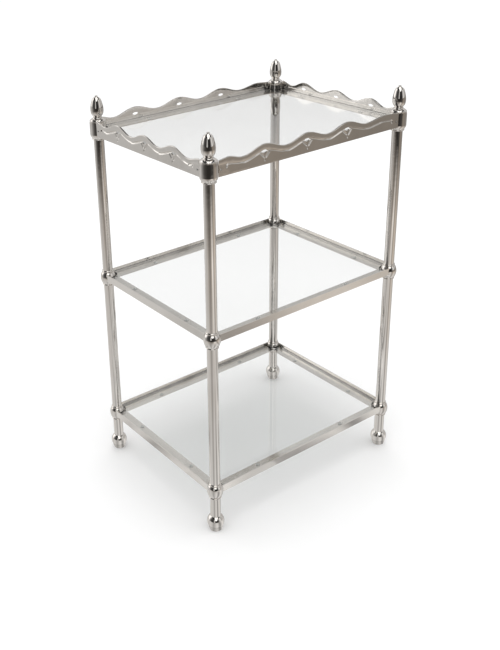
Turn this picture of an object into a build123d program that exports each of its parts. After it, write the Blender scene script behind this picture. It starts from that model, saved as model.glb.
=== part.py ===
from build123d import *

import os

# Three-tier display stand: four turned nickel-plated legs, three framed glass shelves and a
# scalloped cast gallery round the top. Millimetres, +Z up, origin on the floor under the centre.
os.makedirs("parts", exist_ok=True)

# ---- Driving dimensions ----------------------------------------------------------------
leg_x = 225.0               # leg axes, from the centre
leg_y = 170.0
total_height = 786.0        # floor to finial tips

tube_r = 10.0               # 20 mm leg tube
tube_bore_r = 8.8
socket_r = tube_r + 0.05
socket_depth = 7.0

rod_r = 3.0                 # M6 tie rod through each leg
rod_hole_r = 3.2
rod_bottom = 4.0
rod_top = 757.0

foot_r = 16.6               # ball foot
foot_centre = 18.0
foot_flat = 12.4            # underside of the ball, above the floor
foot_socket = 27.0

glide_top = 12.1            # screw-in levelling glide under the ball
glide_r = 14.2
glide_floor_r = 12.4
glide_bore_r = rod_r + 0.05
glide_bore_floor = 3.0

joint_r = 15.4              # ball joint at the two lower shelves
joint_half_height = 16.0
joint_oval = 20.2           # upright half axis of the oval that the rails are cut back to
low_joint = 89.0
middle_joint = 411.0

collar_bottom = 701.5       # collar that carries the gallery
collar_top = 744.5
collar_r = 15.8
collar_socket = 712.0

rail_height = 14.0          # shelf angle: upright flange outside, ledge inside
rail_width = 25.0
rail_upright = 2.0
rail_ledge = 1.5
rail_reach = 10.0           # its outer face, outside the leg axis
rail_drop = 3.7             # its underside, below the joint's middle
rail_trim = 4.0             # its square end, inside the joint
fit_gap = 0.1               # between a rail and the turned piece that it ends on
top_rail_bottom = 716.3

pane_thickness = 5.0
pane_gap = 0.7              # round the edge, inside the upright flange
pane_arris = 0.6
pane_scoop_r = 18.0         # corner cut out round each leg
pad_r = 4.0                 # clear pads between ledge and glass
pad_height = 0.9
pad_pane_gap = 0.3

gallery_bottom = 710.0
gallery_thickness = 3.0
gallery_seam = 0.3          # between a gallery strip and the collar
trough_height = 24.8
peak_height = 36.6
end_crest_height = 31.0     # cut short by the collar
end_height = 28.5           # at the collars
wave_end = 40.0             # no full crest or trough nearer than this to a leg axis
relief_depth = 1.4          # hollow under the raised band
line_crest = 26.6           # lower edge of the band
line_trough = 16.6
line_end_crest = 20.5
line_end = 19.0
line_inset = 27.0           # its rounded ends, from the leg axis
hollow_foot = 4.0
hole_height = 23.4          # pierced eye under each full crest
hole_half_width = 6.2
hole_half_height = 2.5
screw_inset = 16.5          # gallery screws, from the leg axis
screw_height = 12.0         # and above the gallery's underside
screw_r = 1.0
screw_head_r = 1.9
screw_head_height = 0.7
screw_length = 5.6

legs = {
    "front_left": (-leg_x, -leg_y),
    "front_right": (leg_x, -leg_y),
    "rear_left": (-leg_x, leg_y),
    "rear_right": (leg_x, leg_y),
}

# Each shelf side: the direction that it faces, its half length between leg axes, and the
# distance of the leg axes from the centre on that side.
sides = {
    "front": ((0, -1), leg_x, leg_y),
    "rear": ((0, 1), leg_x, leg_y),
    "left": ((-1, 0), leg_y, leg_x),
    "right": ((1, 0), leg_y, leg_x),
}

# Shelf levels: underside of the shelf angles, and how far their outer face stands outside
# the leg axis. The top angles stand inside the gallery strips.
shelves = {
    "bottom": (low_joint - rail_drop, rail_reach),
    "middle": (middle_joint - rail_drop, rail_reach),
    "top": (top_rail_bottom, rail_reach - 2.1),
}

# The gallery strips are cast in lengths and cut to fit by hand, so each has its own wave
# length and its own shift of the middle crest, along +X or +Y.
waves = {
    "front": (97.5, -16.0),
    "rear": (107.0, -27.0),
    "left": (86.0, 0.0),
    "right": (93.0, -1.0),
}


def leg_section(x, y):
    """Upright plane through a leg axis: local X is the radius, local Y the height."""
    return Plane(origin=(x, y, 0), x_dir=(1, 0, 0), z_dir=(0, -1, 0))


def leg_axis(x, y):
    return Axis((x, y, 0), (0, 0, 1))


def side_plan(side, height):
    """Level plane through the leg axes of a shelf side: local X runs along it, to the right as
    seen from outside, and local Y runs inwards."""
    (nx, ny), _, reach = sides[side]
    return Plane(origin=(nx * reach, ny * reach, height), x_dir=(-ny, nx, 0), z_dir=(0, 0, 1))


def side_face(side, out, height):
    """Upright plane on a shelf side, out from its leg axes: the same local X, and local Y up."""
    (nx, ny), _, reach = sides[side]
    origin = (nx * (reach + out), ny * (reach + out), height)
    return Plane(origin=origin, x_dir=(-ny, nx, 0), z_dir=(nx, ny, 0))


def side_legs(side):
    """The two leg positions that a shelf side ends at."""
    (nx, ny), half, reach = sides[side]
    return [(nx * reach + end * ny * half, ny * reach + end * nx * half) for end in (-1, 1)]


def save(part, name):
    part.label = name
    export_step(part, f"parts/{name}.step")


# ---- Turned leg pieces -----------------------------------------------------------------
def finial(name, x, y):
    """Pointed bud on a waisted neck, bored for the tie rod that it screws on to."""
    with BuildPart() as piece:
        with BuildSketch(leg_section(x, y)):
            with BuildLine():
                start = Line((0, collar_top), (8.2, collar_top))
                foot = ThreePointArc(start @ 1, (8.7, collar_top + 0.6), (8.2, collar_top + 1.2))
                waist = Line(foot @ 1, (7.3, collar_top + 1.5))
                bud = Spline(
                    waist @ 1,
                    (10.3, 749.6),
                    (12.2, 756.0),
                    (12.1, 764.0),
                    (9.8, 774.4),
                    (5.7, 781.8),
                    (2.4, 785.1),
                    (0, total_height),
                    tangents=((0.6, 1), (-1, 0)),
                )
                Line(bud @ 1, start @ 0)
            make_face()
        revolve(axis=leg_axis(x, y))
        with BuildSketch(Plane.XY.offset(collar_top)):
            with Locations((x, y)):
                Circle(rod_hole_r)
        extrude(amount=rod_top + 1 - collar_top, mode=Mode.SUBTRACT)
    save(piece.part, name)


def top_collar(name, x, y):
    """Barrel collar with a thin foot ring, a lip and a domed shoulder up to the finial."""
    with BuildPart() as piece:
        with BuildSketch(leg_section(x, y)):
            with BuildLine():
                base = Line((0, collar_bottom), (12.0, collar_bottom))
                ring = ThreePointArc(base @ 1, (12.9, collar_bottom + 0.9), (12.1, collar_bottom + 1.8))
                taper = Spline(ring @ 1, (13.8, 706.4), (collar_r, 712.5), tangents=((0.4, 1), (0, 1)))
                body = Line(taper @ 1, (collar_r, 731.5))
                barrel = Spline(body @ 1, (15.4, 736.4), tangents=((0, 1), (-0.15, 1)))
                groove = Polyline(barrel @ 1, (14.5, 736.9), (14.5, 737.5))
                lip = ThreePointArc(groove @ 1, (15.4, 738.4), (14.5, 739.3))
                dome = Spline(
                    lip @ 1, (12.4, 741.4), (9.6, 742.7), (8.4, collar_top), tangents=((-0.6, 1), (-0.1, 1))
                )
                Polyline(dome @ 1, (0, collar_top), base @ 0)
            make_face()
        revolve(axis=leg_axis(x, y))
        with BuildSketch(Plane.XY.offset(collar_bottom)):
            with Locations((x, y)):
                Circle(socket_r)
        extrude(amount=collar_socket - collar_bottom, mode=Mode.SUBTRACT)
        with BuildSketch(Plane.XY.offset(collar_socket)):
            with Locations((x, y)):
                Circle(rod_hole_r)
        extrude(amount=collar_top - collar_socket, mode=Mode.SUBTRACT)
    save(piece.part, name)


def ball_joint(name, x, y, middle):
    """Oval ball with a bead on top and a thin ring below, socketed for a tube at each end."""
    low_end = middle - joint_half_height
    high_end = middle + joint_half_height
    with BuildPart() as piece:
        with BuildSketch(leg_section(x, y)):
            with BuildLine():
                base = Line((0, low_end), (11.0, low_end))
                ring = ThreePointArc(base @ 1, (11.9, low_end + 1.1), (11.0, low_end + 2.2))
                ball = Spline(
                    ring @ 1,
                    (14.0, middle - 8.0),
                    (joint_r, middle),
                    (14.0, middle + 8.0),
                    (11.6, middle + 12.2),
                    tangents=((0.7, 1), (-0.8, 1)),
                )
                neck = Polyline(ball @ 1, (10.9, middle + 12.2), (10.9, middle + 12.8))
                bead = ThreePointArc(neck @ 1, (11.8, middle + 14.4), (10.9, high_end))
                Polyline(bead @ 1, (0, high_end), base @ 0)
            make_face()
        revolve(axis=leg_axis(x, y))
        with BuildSketch(Plane.XY.offset(low_end), Plane.XY.offset(high_end - socket_depth)):
            with Locations((x, y)):
                Circle(socket_r)
        extrude(amount=socket_depth, mode=Mode.SUBTRACT)
        with BuildSketch(Plane.XY.offset(low_end)):
            with Locations((x, y)):
                Circle(rod_hole_r)
        extrude(amount=2 * joint_half_height, mode=Mode.SUBTRACT)
    save(piece.part, name)


def leg_tube(name, x, y, bottom, top):
    with BuildPart() as piece:
        with BuildSketch(Plane.XY.offset(bottom)):
            with Locations((x, y)):
                Circle(tube_r)
                Circle(tube_bore_r, mode=Mode.SUBTRACT)
        extrude(amount=top - bottom)
    save(piece.part, name)


def ball_foot(name, x, y):
    """Ball with a flat underside, socketed for the short foot tube and bored for the tie rod."""
    with BuildPart() as piece:
        with BuildSketch(leg_section(x, y)):
            with Locations((0, foot_centre)):
                Circle(foot_r)
            with Locations((foot_r / 2, foot_flat + foot_r)):
                Rectangle(foot_r, 2 * foot_r, mode=Mode.INTERSECT)
            with Locations((socket_r / 2, foot_socket + foot_r / 2)):
                Rectangle(socket_r, foot_r, mode=Mode.SUBTRACT)
            with Locations((rod_hole_r / 2, foot_centre)):
                Rectangle(rod_hole_r, 2 * foot_r, mode=Mode.SUBTRACT)
        revolve(axis=leg_axis(x, y))
    save(piece.part, name)


def levelling_glide(name, x, y):
    """Round foot disc that screws up and down on the lower end of the tie rod."""
    with BuildPart() as piece:
        with BuildSketch(leg_section(x, y)):
            with BuildLine():
                base = Line((0, 0), (glide_floor_r - 1, 0))
                heel = ThreePointArc(base @ 1, (glide_floor_r - 0.25, 0.35), (glide_floor_r, 1.2))
                wall = Spline(
                    heel @ 1, (13.7, 5.5), (glide_r, glide_top - 1.2), tangents=((0.3, 1), (0, 1))
                )
                rim = ThreePointArc(
                    wall @ 1, (glide_r - 0.3, glide_top - 0.3), (glide_r - 1.2, glide_top)
                )
                Polyline(
                    rim @ 1,
                    (glide_bore_r, glide_top),
                    (glide_bore_r, glide_bore_floor),
                    (0, glide_bore_floor),
                    base @ 0,
                )
            make_face()
        revolve(axis=leg_axis(x, y))
    save(piece.part, name)


# ---- Shelf frames ----------------------------------------------------------------------
def clear_balls(side, middle):
    """Cuts the open part back to the oval balls at both ends of a side."""
    for x, y in side_legs(side):
        with BuildSketch(leg_section(x, y)) as outline:
            with Locations((0, middle)):
                Ellipse(joint_r + fit_gap, joint_oval + fit_gap)
            with Locations((-joint_r, middle)):
                Rectangle(2 * joint_r, 3 * joint_oval, mode=Mode.SUBTRACT)
        revolve(outline.sketch, axis=leg_axis(x, y), mode=Mode.SUBTRACT)


def clear_collars(side, gap):
    """Cuts the open part back to the barrel collars at both ends of a side."""
    with BuildSketch(Plane.XY.offset(collar_bottom)) as outline:
        with Locations(*side_legs(side)):
            Circle(collar_r + gap)
    extrude(outline.sketch, amount=total_height - collar_bottom, mode=Mode.SUBTRACT)


def shelf_rail(shelf, side):
    """Angle with its upright flange outside and its ledge inside, mitred inside each leg."""
    bottom, out = shelves[shelf]
    half = sides[side][1]
    inner = rail_width - out
    end = half - rail_trim
    outline = [(-end, -out), (end, -out), (end, rail_trim)]
    outline += [(half - inner, inner), (inner - half, inner), (-end, rail_trim)]
    with BuildPart() as rail:
        with BuildSketch(side_plan(side, bottom)):
            with BuildLine():
                Polyline(outline, close=True)
            make_face()
        extrude(amount=rail_height)
        with BuildSketch(side_plan(side, bottom + rail_ledge)):
            with Locations((0, rail_upright - out + rail_width / 2)):
                Rectangle(2 * half, rail_width)
        extrude(amount=rail_height, mode=Mode.SUBTRACT)
        if shelf == "top":
            clear_collars(side, fit_gap)
            with BuildSketch(side_face(side, out, gallery_bottom + screw_height)):
                with GridLocations(2 * (half - screw_inset), 1, 2, 1):
                    Circle(screw_r + 0.05)
            extrude(amount=-rail_upright, mode=Mode.SUBTRACT)
        else:
            clear_balls(side, bottom + rail_drop)
    save(rail.part, f"{shelf}_rail_{side}")


def glass_pane(shelf):
    """Clear pane with a scooped corner round each leg, lying just clear of the ledge pads."""
    bottom, out = shelves[shelf]
    edge = out - rail_upright - pane_gap
    with BuildPart() as pane:
        with BuildSketch(Plane.XY.offset(bottom + rail_ledge + pad_height + pad_pane_gap)):
            Rectangle(2 * (leg_x + edge), 2 * (leg_y + edge))
            with Locations(*legs.values()):
                Circle(pane_scoop_r, mode=Mode.SUBTRACT)
        extrude(amount=pane_thickness)
        chamfer(pane.faces().sort_by(Axis.Z)[0].edges(), pane_arris)
        chamfer(pane.faces().sort_by(Axis.Z)[-1].edges(), pane_arris)
    save(pane.part, f"{shelf}_glass")


# ---- Gallery ---------------------------------------------------------------------------
def wavy_edge(side, stop, crest, trough, end_crest, end):
    """Turning points of a wavy edge along a gallery strip, ending at the stop: three full crests,
    then a low half crest at each end that has room for one, or else a rise to the end."""
    half = sides[side][1]
    length, shift = waves[side]
    x_dir = side_face(side, 0, 0).x_dir
    middle = shift * (x_dir.X + x_dir.Y)
    reach = half - wave_end
    points = []
    for step in range(-3, 4):
        along = max(-reach, min(reach, middle + step * length / 2))
        points.append((along, trough if step % 2 else crest))
    for way in (-1, 1):
        last = points[-1] if way > 0 else points[0]
        room = stop - way * last[0]
        tail = [(way * stop, end_crest)]
        if room > wave_end:
            tail = [(last[0] + way * 0.58 * room, end_crest), (way * stop, end)]
        points = points + tail if way > 0 else tail[::-1] + points
    return points


def wavy_line(points):
    """Smooth curve that is level at each turning point and slopes a little at both ends."""
    first = 0.3 if points[0][1] < points[1][1] else -0.3
    last = 0.3 if points[-1][1] > points[-2][1] else -0.3
    level = [(1, 0)] * (len(points) - 2)
    return Spline(points, tangents=[(1, first)] + level + [(1, last)])


def top_edge(side):
    stop = sides[side][1] - 0.6 * collar_r
    return wavy_edge(side, stop, peak_height, trough_height, end_crest_height, end_height)


def crest_places(side):
    """Where the full crests of a strip stand along it."""
    return [along for along, height in top_edge(side) if height == peak_height]


def relief_cutter(side):
    """Shallow hollow under the raised wavy band: deepest at the band, running out lower down."""
    face = side_face(side, rail_reach + 1, gallery_bottom)
    stop = sides[side][1] - line_inset
    points = wavy_edge(side, stop, line_crest, line_trough, line_end_crest, line_end)
    (left, left_height), (right, right_height) = points[0], points[-1]
    with BuildPart() as cutter:
        with BuildSketch(face):
            with BuildLine():
                line = wavy_line(points)
                right_end = ThreePointArc(line @ 1, (right + 3.2, right_height - 3.2), (right, hollow_foot))
                foot = Line(right_end @ 1, (left, hollow_foot))
                ThreePointArc(foot @ 1, (left - 3.2, left_height - 3.2), line @ 0)
            make_face()
        extrude(amount=-relief_depth)
        slope = Plane(
            origin=face.from_local_coords((0, hollow_foot, 0)),
            x_dir=face.x_dir,
            z_dir=face.from_local_coords((0, relief_depth, line_crest - hollow_foot)) - face.origin,
        )
        split(bisect_by=slope, keep=Keep.TOP)
    return cutter.part


def gallery_strip(side):
    """Cast strip with a straight foot and a wavy top, pierced under each full crest."""
    face = side_face(side, rail_reach + 1, gallery_bottom)
    half = sides[side][1]
    hollow = relief_cutter(side)
    with BuildPart() as strip:
        with BuildSketch(face):
            with BuildLine():
                top = wavy_line(top_edge(side))
                Polyline(top @ 1, ((top @ 1).X, 0), ((top @ 0).X, 0), top @ 0)
            make_face()
            with Locations(*[(along, hole_height) for along in crest_places(side)]):
                Ellipse(hole_half_width, hole_half_height, mode=Mode.SUBTRACT)
        extrude(amount=-gallery_thickness)
        add(hollow, mode=Mode.SUBTRACT)
        with BuildSketch(side_face(side, rail_reach + 1, gallery_bottom + screw_height)):
            with GridLocations(2 * (half - screw_inset), 1, 2, 1):
                Circle(screw_r + 0.05)
        extrude(amount=-gallery_thickness, mode=Mode.SUBTRACT)
        clear_collars(side, gallery_seam)
    save(strip.part, f"gallery_{side}")


for leg, (x, y) in legs.items():
    finial(f"finial_{leg}", x, y)
    top_collar(f"top_collar_{leg}", x, y)
    leg_tube(
        f"upper_tube_{leg}", x, y, middle_joint + joint_half_height - socket_depth, collar_socket
    )
    ball_joint(f"middle_ball_{leg}", x, y, middle_joint)
    leg_tube(
        f"lower_tube_{leg}",
        x,
        y,
        low_joint + joint_half_height - socket_depth,
        middle_joint - joint_half_height + socket_depth,
    )
    ball_joint(f"bottom_ball_{leg}", x, y, low_joint)
    leg_tube(f"foot_tube_{leg}", x, y, foot_socket, low_joint - joint_half_height + socket_depth)
    ball_foot(f"ball_foot_{leg}", x, y)
    levelling_glide(f"levelling_glide_{leg}", x, y)

with BuildPart() as tie_rods:
    with BuildSketch(Plane.XY.offset(rod_bottom)):
        with Locations(*legs.values()):
            Circle(rod_r)
    extrude(amount=rod_top - rod_bottom)
save(tie_rods.part, "tie_rods")

for shelf in shelves:
    for side in sides:
        shelf_rail(shelf, side)
    glass_pane(shelf)

for side in sides:
    gallery_strip(side)

with BuildPart() as glass_pads:
    for shelf, (bottom, out) in shelves.items():
        for side, (_, half, _) in sides.items():
            with BuildSketch(side_plan(side, bottom + rail_ledge)):
                with Locations((0, rail_width - out - pad_r - 3)):
                    with GridLocations(half, 1, 2, 1):
                        Circle(pad_r)
            extrude(amount=pad_height)
save(glass_pads.part, "glass_pads")

with BuildPart() as gallery_screws:
    for side, (_, half, _) in sides.items():
        with BuildSketch(side_face(side, rail_reach + 1, gallery_bottom + screw_height)):
            with GridLocations(2 * (half - screw_inset), 1, 2, 1):
                Circle(screw_r)
        extrude(amount=-screw_length)
        with BuildSketch(side_face(side, rail_reach + 1, gallery_bottom + screw_height)):
            with GridLocations(2 * (half - screw_inset), 1, 2, 1):
                Circle(screw_head_r)
        extrude(amount=screw_head_height, taper=20)
save(gallery_screws.part, "gallery_screws")
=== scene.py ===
import math

import bmesh
import bpy
from mathutils import Matrix, Vector


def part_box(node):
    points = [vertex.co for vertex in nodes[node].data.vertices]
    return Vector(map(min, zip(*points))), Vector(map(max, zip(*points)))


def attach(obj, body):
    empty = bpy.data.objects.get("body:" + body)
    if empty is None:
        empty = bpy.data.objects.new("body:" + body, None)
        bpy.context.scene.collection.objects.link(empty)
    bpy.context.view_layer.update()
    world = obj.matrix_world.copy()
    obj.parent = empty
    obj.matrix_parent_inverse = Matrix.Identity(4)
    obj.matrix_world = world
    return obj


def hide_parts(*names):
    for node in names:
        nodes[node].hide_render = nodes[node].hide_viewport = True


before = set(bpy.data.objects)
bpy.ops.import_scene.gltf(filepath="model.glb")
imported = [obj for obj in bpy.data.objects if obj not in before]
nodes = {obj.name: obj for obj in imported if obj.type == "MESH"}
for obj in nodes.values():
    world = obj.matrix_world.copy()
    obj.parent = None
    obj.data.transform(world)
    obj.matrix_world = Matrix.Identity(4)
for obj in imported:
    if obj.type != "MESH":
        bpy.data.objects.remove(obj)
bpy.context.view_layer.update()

scene = bpy.context.scene
SIDES = ("front", "rear", "left", "right")
MM = 0.001
LEG_X, LEG_Y = 225.0, 170.0         # leg axes, from the centre, in millimetres
PHOTO_X, PHOTO_Y = -0.557, -0.83    # level direction from the stand towards the photographer


# ---- Node helpers ----------------------------------------------------------------------
def tree_of(owner):
    owner.use_nodes = True
    tree = owner.node_tree
    tree.nodes.clear()
    return tree


def node(tree, kind, inputs=None, **settings):
    """Adds a shader node; inputs are numbers, colours or the sockets to link from."""
    made = tree.nodes.new(kind)
    for key, value in settings.items():
        setattr(made, key, value)
    for key, value in (inputs or {}).items():
        socket = made.inputs[key]
        if isinstance(value, bpy.types.NodeSocket):
            tree.links.new(value, socket)
        else:
            socket.default_value = value
    return made


def new_material(name):
    """Returns an empty material, its node tree and the object coordinates in it."""
    material = bpy.data.materials.new(name)
    tree = tree_of(material)
    return material, tree, node(tree, "ShaderNodeTexCoord").outputs["Object"]


def noise(tree, place, scale, detail):
    made = node(tree, "ShaderNodeTexNoise", {"Vector": place, "Scale": scale, "Detail": detail})
    return made.outputs["Fac"]


def bump(tree, height, strength, distance, **more):
    inputs = {"Height": height, "Strength": strength, "Distance": distance, **more}
    return node(tree, "ShaderNodeBump", inputs).outputs[0]


def ramp(tree, factor, stops):
    made = node(tree, "ShaderNodeValToRGB", {"Fac": factor})
    elements = made.color_ramp.elements
    while len(elements) < len(stops):
        elements.new(0.5)
    for element, (place, colour) in zip(elements, stops):
        element.position = place
        element.color = (*colour, 1.0)
    return made.outputs["Color"]


def fit(tree, value, low, high, to_low=0.0, to_high=1.0, smooth=True):
    """Maps low..high to to_low..to_high and holds the ends."""
    made = node(
        tree,
        "ShaderNodeMapRange",
        {"Value": value, "From Min": low, "From Max": high, "To Min": to_low, "To Max": to_high},
        interpolation_type="SMOOTHSTEP" if smooth else "LINEAR",
    )
    return made.outputs["Result"]


def math_node(tree, operation, first, second=0.0):
    made = node(tree, "ShaderNodeMath", {0: first, 1: second}, operation=operation)
    return made.outputs[0]


def weighted(tree, first, first_weight, second, second_weight):
    return math_node(
        tree, "ADD",
        math_node(tree, "MULTIPLY", first, first_weight),
        math_node(tree, "MULTIPLY", second, second_weight),
    )


def mix_colour(tree, factor, first, second):
    made = node(tree, "ShaderNodeMixRGB", {"Fac": factor, "Color1": first, "Color2": second})
    return made.outputs["Color"]


def compass(tree, x, y):
    """How far (x, y) lies towards the photographer, how far to the right of that, and its turn
    from there to the right, as 0 to 1 for -180 to 180 degrees."""
    front = weighted(tree, x, PHOTO_X, y, PHOTO_Y)
    right = weighted(tree, x, -PHOTO_Y, y, PHOTO_X)
    angle = math_node(tree, "ARCTAN2", right, front)
    return front, right, fit(tree, angle, -math.pi, math.pi, smooth=False)


def around(degrees, level, warmth=0.035):
    """A stop of a ramp that runs once round the stand."""
    return (degrees + 180) / 360, (level, level * (1 - 0.5 * warmth), level * (1 - warmth))


def mirrored_look(tree, plain, mirrored):
    """Shows one shader directly and another to rays that come off a polished surface."""
    rays = node(tree, "ShaderNodeLightPath")
    bounced = math_node(tree, "GREATER_THAN", rays.outputs["Glossy Depth"], 0.5)
    inputs = {0: bounced, 1: plain.outputs[0], 2: mirrored.outputs[0]}
    return node(tree, "ShaderNodeMixShader", inputs).outputs[0]


# ---- Materials -------------------------------------------------------------------------
def metal(name, light, dark, rough, relief, ripple=90.0, scratch=(900.0, 900.0, 60.0)):
    """Plated metal: faint tone drift, smudged gloss, a soft ripple and hair-fine polishing lines;
    relief holds the strength of the ripple and of the lines."""
    material, tree, place = new_material(name)
    colour = ramp(tree, noise(tree, place, 14.0, 4.0), [(0.32, dark), (0.68, light)])
    gloss = fit(tree, noise(tree, place, 55.0, 6.0), 0.3, 0.75, rough[0], rough[1])
    wave = bump(tree, noise(tree, place, ripple, 1.5), relief[0], 0.002)
    stretch = node(tree, "ShaderNodeMapping", {"Vector": place, "Scale": scratch}).outputs[0]
    lines = bump(tree, noise(tree, stretch, 1.0, 3.0), relief[1], 0.0003, Normal=wave)
    shader = node(
        tree,
        "ShaderNodeBsdfPrincipled",
        {"Base Color": colour, "Metallic": 1.0, "Roughness": gloss, "Normal": lines},
    )
    node(tree, "ShaderNodeOutputMaterial", {"Surface": shader.outputs[0]})
    return material


def clear_glass():
    """Clear float glass with a faint green-grey cast; shadow rays pass straight through."""
    material, tree, place = new_material("clear_glass")
    gloss = fit(tree, noise(tree, place, 9.0, 5.0), 0.4, 0.8, 0.0, 0.03)
    sway = bump(tree, noise(tree, place, 5.0, 1.0), 0.02, 0.002)
    glass = node(
        tree,
        "ShaderNodeBsdfPrincipled",
        {"Base Color": (0.93, 0.937, 0.936, 1.0), "Roughness": gloss, "IOR": 1.5,
         "Transmission Weight": 1.0, "Normal": sway},
    )
    through = node(tree, "ShaderNodeBsdfTransparent", {"Color": (0.9, 0.92, 0.91, 1.0)})
    rays = node(tree, "ShaderNodeLightPath")
    shade = node(
        tree,
        "ShaderNodeMixShader",
        {0: rays.outputs["Is Shadow Ray"], 1: glass.outputs[0], 2: through.outputs[0]},
    )
    node(tree, "ShaderNodeOutputMaterial", {"Surface": shade.outputs[0]})
    return material


def clear_vinyl():
    """Cloudy soft plastic of the glass pads."""
    material, tree, place = new_material("clear_vinyl")
    cloud = noise(tree, place, 400.0, 2.0)
    colour = ramp(tree, cloud, [(0.3, (0.62, 0.62, 0.6)), (0.7, (0.7, 0.7, 0.68))])
    shader = node(
        tree,
        "ShaderNodeBsdfPrincipled",
        {"Base Color": colour, "Roughness": 0.3, "Transmission Weight": 0.1,
         "Normal": bump(tree, cloud, 0.1, 0.0003)},
    )
    node(tree, "ShaderNodeOutputMaterial", {"Surface": shader.outputs[0]})
    return material


turned = metal(
    "polished_nickel", (0.84, 0.815, 0.785), (0.78, 0.75, 0.715), (0.02, 0.05), (0.03, 0.03)
)
rail_metal = metal(
    "rail_nickel", (0.83, 0.81, 0.78), (0.77, 0.745, 0.71), (0.1, 0.17), (0.08, 0.06),
    ripple=40.0, scratch=(60.0, 60.0, 900.0),
)
cast_metal = metal(
    "cast_nickel", (0.83, 0.81, 0.78), (0.76, 0.735, 0.70), (0.05, 0.09), (0.14, 0.06),
    ripple=60.0, scratch=(300.0, 300.0, 500.0),
)
satin_metal = metal(
    "satin_nickel", (0.72, 0.7, 0.67), (0.62, 0.6, 0.57), (0.06, 0.12), (0.08, 0.06)
)
steel = metal("zinc_steel", (0.62, 0.62, 0.61), (0.5, 0.5, 0.49), (0.25, 0.4), (0.1, 0.2))
glass_material = clear_glass()
vinyl = clear_vinyl()


def material_for(name):
    if name == "glass_pads":
        return vinyl
    if "glass" in name:
        return glass_material
    if name in ("tie_rods", "gallery_screws"):
        return steel
    if "glide" in name:
        return satin_metal
    if "_rail_" in name:
        return rail_metal
    return cast_metal if name.startswith("gallery") else turned


def roll_edges(piece):
    """A small rolled edge on a CAD node, so that its corners catch the light."""
    modifier = piece.modifiers.new("edge", "BEVEL")
    modifier.width = 0.5 * MM
    modifier.segments = 3
    modifier.limit_method = "ANGLE"
    modifier.angle_limit = math.radians(50)
    modifier.harden_normals = True


for name in nodes:
    for each in nodes[name].material_slots:
        each.material = material_for(name)
    if "_rail_" in name:
        roll_edges(nodes[name])


# ---- Cast gallery strips ---------------------------------------------------------------
# Each strip is drawn in its own flat frame, in millimetres: s runs along it, to the right as seen
# from outside, z runs up from its foot, and depth runs inwards from its outer face.
OUTER, INNER = 11.0, 8.0                # faces, out from the leg axes
COLLAR_R = 15.8
SEAM_R = COLLAR_R + 0.3                 # the strips end at this radius round the leg axes
CREST, TROUGH = 36.6, 24.8              # top edge
END_CREST, END = 31.0, 28.5
BAND_CREST, BAND_TROUGH = 26.6, 16.6    # lower edge of the raised band
BAND_END_CREST, BAND_END = 20.5, 19.0
BAND_INSET = 27.0
WAVE_INSET = 40.0                       # no full crest or trough nearer than this to a leg axis
HOLLOW_FOOT, HOLLOW_SLOPE = 4.0, 0.072  # the field under the band leans in from its foot
HOLLOW_CORNER = 5.0
LINE_DEPTH = 1.1                        # line pressed in along the lower edge of the band
DEEPEST = 2.5
CROWN = 0.14                            # how far the band bulges
TOP_ROUNDING, BACK_ROUNDING = 0.9, 0.7
FRONT_CHAMFER, BACK_CHAMFER = 0.5, 0.4
WAVES = {                               # wave length, and shift of the middle crest along +X or +Y
    "front": (97.5, -16.0),
    "rear": (107.0, -27.0),
    "left": (86.0, 0.0),
    "right": (93.0, -1.0),
}
FACING = {"front": (0, -1), "rear": (0, 1), "left": (-1, 0), "right": (1, 0)}

# Leaf grooves under a crest: start and end (from the crest, height), width and depth.
LEAF = (
    ((-11.0, 22.5), (-1.5, 13.0), 2.2, 0.95),
    ((10.5, 23.0), (0.5, 12.0), 2.4, 0.95),
    ((-0.8, 10.5), (-0.8, 6.5), 1.9, 1.1),
)
LEAF_REACH = 18.0

# Mesh of a strip: column spacing, and rows under the band, on it, round its top edge and behind.
COLUMN = 0.8
LOW_ROWS, BAND_ROWS, ARC_ROWS, BACK_ROWS = 34, 10, 4, 6

EYE_HEIGHT, EYE_HALF_WIDTH = 23.4, 6.3
EYE_ABOVE, EYE_BELOW = 2.3, 2.7
EYE_SECTIONS = ((13.0, 1.9), (OUTER - 2.3, 1.0), (6.0, 0.96))   # distance out, and size there
SCREW_INSET, SCREW_HEIGHT, BORE_R = 16.5, 12.0, 1.05
BORE_SECTIONS = ((12.5, 1.0), (6.5, 1.0))


def half_length(side):
    return LEG_X if side in ("front", "rear") else LEG_Y


def clamp(value):
    return max(0.0, min(1.0, value))


def ease(low, high, value):
    part = clamp((value - low) / (high - low))
    return part * part * (3 - 2 * part)


def turning_points(side, stop, crest, trough, end_crest, end):
    """Crests and troughs of a wavy edge along a strip, and its run-out to the stop."""
    nx, ny = FACING[side]
    length, shift = WAVES[side]
    middle = shift * (nx - ny)
    reach = half_length(side) - WAVE_INSET
    points = []
    for step in range(-3, 4):
        along = max(-reach, min(reach, middle + step * length / 2))
        points.append((along, trough if step % 2 else crest))
    for way in (-1, 1):
        last = points[-1] if way > 0 else points[0]
        room = stop - way * last[0]
        tail = [(way * stop, end_crest)]
        if room > WAVE_INSET:
            tail = [(last[0] + way * 0.58 * room, end_crest), (way * stop, end)]
        points = points + tail if way > 0 else tail[::-1] + points
    return points


def wave_height(points, s):
    """Height of the wavy edge at s: half cosines from one turning point to the next."""
    if s <= points[0][0]:
        return points[0][1]
    for (s0, z0), (s1, z1) in zip(points, points[1:]):
        if s <= s1:
            part = (s - s0) / (s1 - s0)
            return z0 + (z1 - z0) * 0.5 * (1 - math.cos(math.pi * part))
    return points[-1][1]


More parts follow.
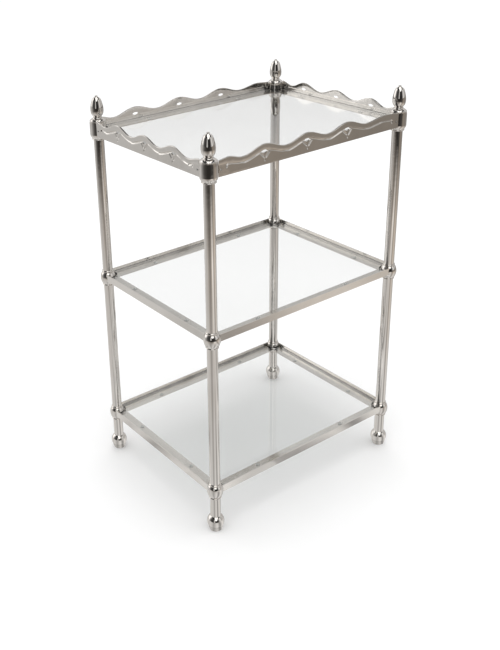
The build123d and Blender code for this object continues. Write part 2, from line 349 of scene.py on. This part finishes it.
def groove(s, z, start, end, width, depth):
    """V groove between two points, tapering out at both ends."""
    dx, dz = end[0] - start[0], end[1] - start[1]
    long = math.hypot(dx, dz)
    along = ((s - start[0]) * dx + (z - start[1]) * dz) / long
    off = abs((s - start[0]) * dz - (z - start[1]) * dx) / long
    if along < -1 or along > long + 1 or off > width:
        return 0.0
    ends = ease(-1.0, 2.0, along) * ease(-1.0, 3.0, long - along)
    return depth * ends * (1 - off / width)


def hollow_depth(across, down, z, rise):
    """Depth of the hollow at a point that lies across inside its end and down under the band; its
    scoop is broad where the band rises to the right and crisp where it falls."""
    if across < 0:
        return 0.0
    short_s, short_z = max(HOLLOW_CORNER - across, 0.0), max(HOLLOW_CORNER - down, 0.0)
    inside = HOLLOW_CORNER - math.hypot(short_s, short_z)
    scoop = 0.9 + 1.4 * ease(-0.12, 0.2, rise)
    field = HOLLOW_SLOPE * max(z - HOLLOW_FOOT, 0.0)
    field += LINE_DEPTH * (1 - ease(scoop - 0.2, scoop + 2.2, inside))
    field *= 1 - ease(3.0, 10.0, down) * (1 - ease(2.0, 24.0, across))
    return field * (1 - (1 - clamp(inside / scoop)) ** 2)


def face_depth(s, z, top, band, rise, end, crests):
    """Depth of a strip's outer face below its highest level, with the band's edges at the heights
    top and band there, its slope as rise, the hollow's end at s = end and leaves under crests."""
    if z > band:
        part = (z - band) / max(top - band, 1.0)
        return CROWN * (2 * part - 1) ** 2
    sunk = hollow_depth(end - abs(s), band - z, z, rise)
    for crest in crests:
        if abs(s - crest) <= LEAF_REACH:
            sunk += max(groove(s - crest, z, *mark) for mark in LEAF)
    return CROWN + min(sunk, DEEPEST)


def strip_frame(side):
    """Returns place(s, out, z), which puts a point of a strip's flat frame into the scene."""
    nx, ny = FACING[side]
    reach = LEG_Y if side in ("front", "rear") else LEG_X
    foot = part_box("gallery_" + side)[0][2]

    def place(s, out, z):
        level = reach + out
        return Vector(((nx * level - ny * s) * MM, (ny * level + nx * s) * MM, foot + z * MM))

    return place


def strip_section(face, top, band):
    """Outline of a strip at one place along it, as (out, z) from the foot up and down the back;
    face(z) gives the outer face."""
    points = []
    for row in range(LOW_ROWS):
        z = band - (band - FRONT_CHAMFER) * (1 - row / LOW_ROWS) ** 1.35
        points.append((face(z), z))
    shoulder = top - TOP_ROUNDING
    for row in range(BAND_ROWS + 1):
        z = band + (shoulder - band) * (row / BAND_ROWS) ** 1.4
        points.append((face(z), z))
    for row in range(1, ARC_ROWS + 1):
        angle = 0.5 * math.pi * row / ARC_ROWS
        points.append((face(shoulder) - TOP_ROUNDING * (1 - math.cos(angle)),
                       shoulder + TOP_ROUNDING * math.sin(angle)))
    for row in range(ARC_ROWS):
        angle = 0.5 * math.pi * row / ARC_ROWS
        points.append((INNER + BACK_ROUNDING * (1 - math.sin(angle)),
                       top - BACK_ROUNDING * (1 - math.cos(angle))))
    for row in range(BACK_ROWS + 1):
        part = row / BACK_ROWS
        points.append((INNER, (top - BACK_ROUNDING) * (1 - part) + BACK_CHAMFER * part))
    return points + [(INNER + BACK_CHAMFER, 0.0), (OUTER - CROWN - FRONT_CHAMFER, 0.0)]


def seam_distance(half, out):
    """How far along a strip its collar starts, at a level out from the leg axes."""
    return half - math.sqrt(SEAM_R**2 - out**2)


def loft(bm, rings):
    """Skins a row of equal loops of vertices and closes both ends."""
    for first, second in zip(rings, rings[1:]):
        count = len(first)
        for index in range(count):
            after = (index + 1) % count
            bm.faces.new((first[index], first[after], second[after], second[index]))
    bm.faces.new(rings[0][::-1])
    bm.faces.new(rings[-1])


def closed_mesh(bm, name):
    bmesh.ops.recalc_face_normals(bm, faces=bm.faces)
    mesh = bpy.data.meshes.new(name)
    bm.to_mesh(mesh)
    bm.free()
    return mesh


def strip_mesh(side, place):
    """Closed mesh of one strip: rounded edges, crowned band, hollow field and leaf grooves."""
    half = half_length(side)
    end = half - BAND_INSET
    top_points = turning_points(side, half - 0.6 * COLLAR_R, CREST, TROUGH, END_CREST, END)
    band_points = turning_points(side, end, BAND_CREST, BAND_TROUGH, BAND_END_CREST, BAND_END)
    crests = [s for s, z in top_points if z == CREST]
    columns = round(2 * seam_distance(half, OUTER) / COLUMN)
    bm = bmesh.new()
    rings = []
    for column in range(columns + 1):
        part = 2 * column / columns - 1
        s = part * seam_distance(half, OUTER)
        top, band = wave_height(top_points, s), wave_height(band_points, s)
        rise = wave_height(band_points, s + 1) - wave_height(band_points, s - 1)

        def face(z):
            return OUTER - face_depth(s, z, top, band, rise, end, crests)

        rings.append([
            bm.verts.new(place(part * seam_distance(half, out), out, z))
            for out, z in strip_section(face, top, band)
        ])
    loft(bm, rings)
    return closed_mesh(bm, "cast_gallery_" + side), crests


def plug(bm, place, outline, sections, steps):
    """Closed plug through a strip; outline(angle, grow) gives its (s, z) at each section."""
    rings = []
    for out, grow in sections:
        corners = [outline(2 * math.pi * step / steps, grow) for step in range(steps)]
        rings.append([bm.verts.new(place(s, out, z)) for s, z in corners])
    loft(bm, rings)


def eye_cutter(crests, place):
    """Tapered almond plugs that pierce the strip under its crests."""
    bm = bmesh.new()
    for crest in crests:
        def almond(angle, grow):
            lift = math.sin(angle) * abs(math.sin(angle)) ** 0.35
            height = EYE_ABOVE if lift > 0 else EYE_BELOW
            return (crest + EYE_HALF_WIDTH * grow * math.cos(angle),
                    EYE_HEIGHT + height * grow * lift)

        plug(bm, place, almond, EYE_SECTIONS, 32)
    return closed_mesh(bm, "eyes")


def bore_cutter(side, place):
    """Short round plugs for the two screw holes."""
    bm = bmesh.new()
    for way in (-1, 1):
        centre = way * (half_length(side) - SCREW_INSET)

        def circle(angle, grow):
            return (centre + BORE_R * grow * math.cos(angle),
                    SCREW_HEIGHT + BORE_R * grow * math.sin(angle))

        plug(bm, place, circle, BORE_SECTIONS, 20)
    return closed_mesh(bm, "bores")


def cut(piece, tool_mesh):
    """Subtracts a closed mesh from a piece and keeps the result as its mesh."""
    tool = bpy.data.objects.new("tool", tool_mesh)
    scene.collection.objects.link(tool)
    modifier = piece.modifiers.new("cut", "BOOLEAN")
    modifier.operation = "DIFFERENCE"
    modifier.solver = "EXACT"
    modifier.object = tool
    graph = bpy.context.evaluated_depsgraph_get()
    result = bpy.data.meshes.new_from_object(piece.evaluated_get(graph))
    piece.modifiers.clear()
    old = piece.data
    piece.data = result
    bpy.data.meshes.remove(old)
    bpy.data.objects.remove(tool)
    bpy.data.meshes.remove(tool_mesh)


def smooth(mesh):
    for polygon in mesh.polygons:
        polygon.use_smooth = True
    mesh.set_sharp_from_angle(angle=math.radians(32))


for side in SIDES:
    place = strip_frame(side)
    strip, crests = strip_mesh(side, place)
    piece = bpy.data.objects.new("cast_gallery_" + side, strip)
    scene.collection.objects.link(piece)
    cut(piece, eye_cutter(crests, place))
    cut(piece, bore_cutter(side, place))
    piece.data.name = "cast_gallery_" + side
    piece.data.materials.clear()
    piece.data.materials.append(cast_metal)
    smooth(piece.data)
    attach(piece, "stand")
    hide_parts("gallery_" + side)


# ---- Floor -----------------------------------------------------------------------------
# Painted reflection near the stand: direction round the nearest leg in degrees, from where the
# photographer stands towards the right, and the painted brightness polished metal shows there.
PAINTED_NEAR_REFLECTION = (
    (-180, 0.56), (-138, 0.66), (-108, 0.8), (-90, 0.58), (-70, 0.72), (-48, 0.64), (-27, 0.4),
    (-9, 0.6), (10, 0.84), (22, 0.66), (38, 0.32), (48, 0.38), (60, 0.66), (76, 0.9), (92, 0.66),
    (108, 0.74), (124, 0.46), (180, 0.56),
)

# Painted reflection further out: direction round the stand in degrees, the painted brightness of
# the room 1.4 m out and 2.35 m out, and how warm.
PAINTED_ROOM_REFLECTION = (
    (-180, 0.5, 0.3, 0.06), (-138, 0.7, 0.5, 0.05), (-107, 0.68, 0.56, 0.04),
    (-84, 0.5, 0.3, 0.06), (-60, 0.58, 0.1, 0.1), (-46, 0.46, 0.06, 0.14),
    (-20, 0.28, 0.03, 0.18), (-6, 0.28, 0.03, 0.18), (8, 0.5, 0.03, 0.16),
    (20, 0.98, 0.05, 0.12), (30, 0.94, 0.06, 0.1), (38, 0.56, 0.05, 0.14),
    (50, 0.34, 0.19, 0.22), (57, 0.5, 0.26, 0.24), (72, 0.68, 0.29, 0.24),
    (86, 0.54, 0.24, 0.2), (100, 0.42, 0.28, 0.12), (112, 0.66, 0.34, 0.1),
    (124, 0.4, 0.3, 0.1), (180, 0.5, 0.3, 0.06),
)


def from_nearest_leg(tree, value, leg):
    """A level coordinate, measured from the leg axis on its own side of the stand."""
    nearest = math_node(tree, "MULTIPLY", math_node(tree, "SIGN", value), leg * MM)
    return math_node(tree, "SUBTRACT", value, nearest)


def painted_room_reflection(tree, place):
    """Painted reflection of the studio floor, shown only to polished metal: pale paper near the
    stand, and further out a painted dim warm room on the front side with one painted lit patch to
    the right."""
    split = node(tree, "ShaderNodeSeparateXYZ", {"Vector": place})
    x, y = split.outputs["X"], split.outputs["Y"]
    _, _, turn = compass(tree, x, y)
    _, _, leg_turn = compass(
        tree, from_nearest_leg(tree, x, LEG_X), from_nearest_leg(tree, y, LEG_Y)
    )
    reach = math_node(tree, "SQRT", math_node(tree, "ADD", math_node(tree, "MULTIPLY", x, x),
                                              math_node(tree, "MULTIPLY", y, y)))
    near = ramp(tree, leg_turn, [around(degrees, level) for degrees, level in PAINTED_NEAR_REFLECTION])
    middle = ramp(tree, turn, [around(degrees, level, warm) for degrees, level, _, warm in PAINTED_ROOM_REFLECTION])
    far = ramp(tree, turn, [around(degrees, level, warm) for degrees, _, level, warm in PAINTED_ROOM_REFLECTION])
    inner = mix_colour(tree, fit(tree, reach, 0.35, 1.4, smooth=False), near, middle)
    return mix_colour(tree, fit(tree, reach, 1.45, 2.35, smooth=False), inner, far)


def floor_material():
    """White paper; to rays off polished metal it glows instead with a painted reflection of a
    room's light and dark.
    """
    material, tree, place = new_material("studio_floor")
    paper = noise(tree, place, 3.0, 4.0)
    colour = ramp(tree, paper, [(0.3, (0.93, 0.93, 0.93)), (0.7, (0.95, 0.95, 0.95))])
    plain = node(
        tree,
        "ShaderNodeBsdfPrincipled",
        {"Base Color": colour, "Roughness": 0.9, "Specular IOR Level": 0.0},
    )
    # The floor glows with this painted reflection, only for rays that come off polished metal.
    room = node(tree, "ShaderNodeEmission", {"Color": painted_room_reflection(tree, place)})
    node(tree, "ShaderNodeOutputMaterial", {"Surface": mirrored_look(tree, plain, room)})
    return material


def studio_floor(size):
    bm = bmesh.new()
    bmesh.ops.create_grid(bm, x_segments=1, y_segments=1, size=size / 2)
    mesh = bpy.data.meshes.new("studio_floor")
    bm.to_mesh(mesh)
    bm.free()
    mesh.materials.append(floor_material())
    made = bpy.data.objects.new("studio_floor", mesh)
    scene.collection.objects.link(made)


studio_floor(80.0)


# ---- Studio light ----------------------------------------------------------------------
# Walls above the floor: direction round the stand in degrees, and how bright they look there.
WALLS = (
    (-180, 0.6), (-150, 0.75), (-125, 1.3), (-100, 1.3), (-92, 0.4), (-72, 0.08), (-32, 0.03),
    (-25, 0.6), (-14, 0.6), (-8, 0.03), (28, 0.02), (42, 0.25), (55, 0.75), (70, 0.8), (80, 0.4),
    (95, 0.5), (112, 0.6), (150, 0.6), (180, 0.6),
)
CEILING = (0.03, 0.03, 0.03, 1.0)
PANEL = (1.7, 1.68, 1.65, 1.0)
PANEL_ACROSS = 0.12     # how far right its middle lies, for a height of one


def overhead_panel(tree, front, right, up):
    """Mask of a long bright panel overhead with a dim seam along its middle."""
    safe = math_node(tree, "MAXIMUM", up, 0.05)
    ahead = math_node(tree, "DIVIDE", front, safe)
    across = math_node(tree, "SUBTRACT", math_node(tree, "DIVIDE", right, safe), PANEL_ACROSS)
    across = math_node(tree, "ABSOLUTE", across)
    seam = fit(tree, across, 0.03, 0.07)
    panel = fit(tree, across, 0.46, 0.36)
    for edge in (
        fit(tree, ahead, 2.4, 2.2),
        fit(tree, ahead, -0.3, -0.1),
        fit(tree, seam, 0.0, 1.0, 0.3, 1.0, smooth=False),
    ):
        panel = math_node(tree, "MULTIPLY", panel, edge)
    return panel


def studio_world():
    """Even white light for the floor; polished surfaces see the studio: a long overhead panel, a
    white wall behind the stand to the left, and dim walls with lit patches elsewhere."""
    world = bpy.data.worlds.new("studio")
    tree = tree_of(world)
    way = node(tree, "ShaderNodeTexCoord").outputs["Generated"]
    split = node(tree, "ShaderNodeSeparateXYZ", {"Vector": way})
    up = split.outputs["Z"]
    front, right, turn = compass(tree, split.outputs["X"], split.outputs["Y"])
    wall = ramp(tree, turn, [around(degrees, level) for degrees, level in WALLS])
    lift = fit(tree, up, 0.44, 0.56, 1.0, 1.2)
    lifted = node(tree, "ShaderNodeVectorMath", {0: wall, "Scale": lift}, operation="SCALE")
    room = mix_colour(tree, fit(tree, up, 0.6, 0.72), lifted.outputs[0], CEILING)
    room = mix_colour(tree, overhead_panel(tree, front, right, up), room, PANEL)
    seen = node(tree, "ShaderNodeBackground", {"Color": room})
    even = node(tree, "ShaderNodeBackground", {"Color": (1.0, 1.0, 1.0, 1.0), "Strength": 1.12})
    node(tree, "ShaderNodeOutputWorld", {"Surface": mirrored_look(tree, even, seen)})
    scene.world = world


def softbox(name, place, size, power):
    """Area lamp aimed at the middle of the stand, left out of what glass and metal mirror."""
    lamp = bpy.data.lights.new(name, "AREA")
    lamp.shape = "RECTANGLE"
    lamp.size, lamp.size_y = size
    lamp.energy = power
    made = bpy.data.objects.new(name, lamp)
    made.location = place
    made.rotation_mode = "QUATERNION"
    aim = Vector((0, 0, 0.4))
    made.rotation_quaternion = (aim - Vector(place)).to_track_quat("-Z", "Y")
    made.visible_camera = made.visible_glossy = made.visible_transmission = False
    scene.collection.objects.link(made)


studio_world()
softbox("overhead_softbox", (-0.25, -0.35, 2.3), (1.1, 1.1), 5.0)
softbox("rear_fill", (0.9, 1.6, 2.0), (1.2, 0.8), 3.0)


# ---- Camera ----------------------------------------------------------------------------
CAMERA_PLACE = (-1.0858, -1.2802, 1.1899)
YAW, PITCH, ROLL = 0.5910, 0.3964, -0.0466      # from +Y to the right, down, and round the view


def photo_camera():
    lens = bpy.data.cameras.new("camera")
    lens.sensor_width = 36.0
    lens.lens = 50.42
    lens.shift_x, lens.shift_y = 0.150, -0.1294
    lens.clip_start, lens.clip_end = 0.05, 200.0
    camera = bpy.data.objects.new("camera", lens)
    forward = Vector((
        math.sin(YAW) * math.cos(PITCH), math.cos(YAW) * math.cos(PITCH), -math.sin(PITCH)
    ))
    level = Vector((math.cos(YAW), -math.sin(YAW), 0.0))
    upward = level.cross(forward)
    right_way = math.cos(ROLL) * level + math.sin(ROLL) * upward
    up_way = math.cos(ROLL) * upward - math.sin(ROLL) * level
    turn = Matrix((right_way, up_way, -forward)).transposed().to_4x4()
    camera.matrix_world = Matrix.Translation(CAMERA_PLACE) @ turn
    scene.collection.objects.link(camera)
    scene.camera = camera


photo_camera()
scene.view_settings.view_transform = "Standard"
scene.view_settings.look = "None"
scene.cycles.max_bounces = 16
scene.cycles.transmission_bounces = 12
scene.cycles.transparent_max_bounces = 16
scene.cycles.glossy_bounces = 8
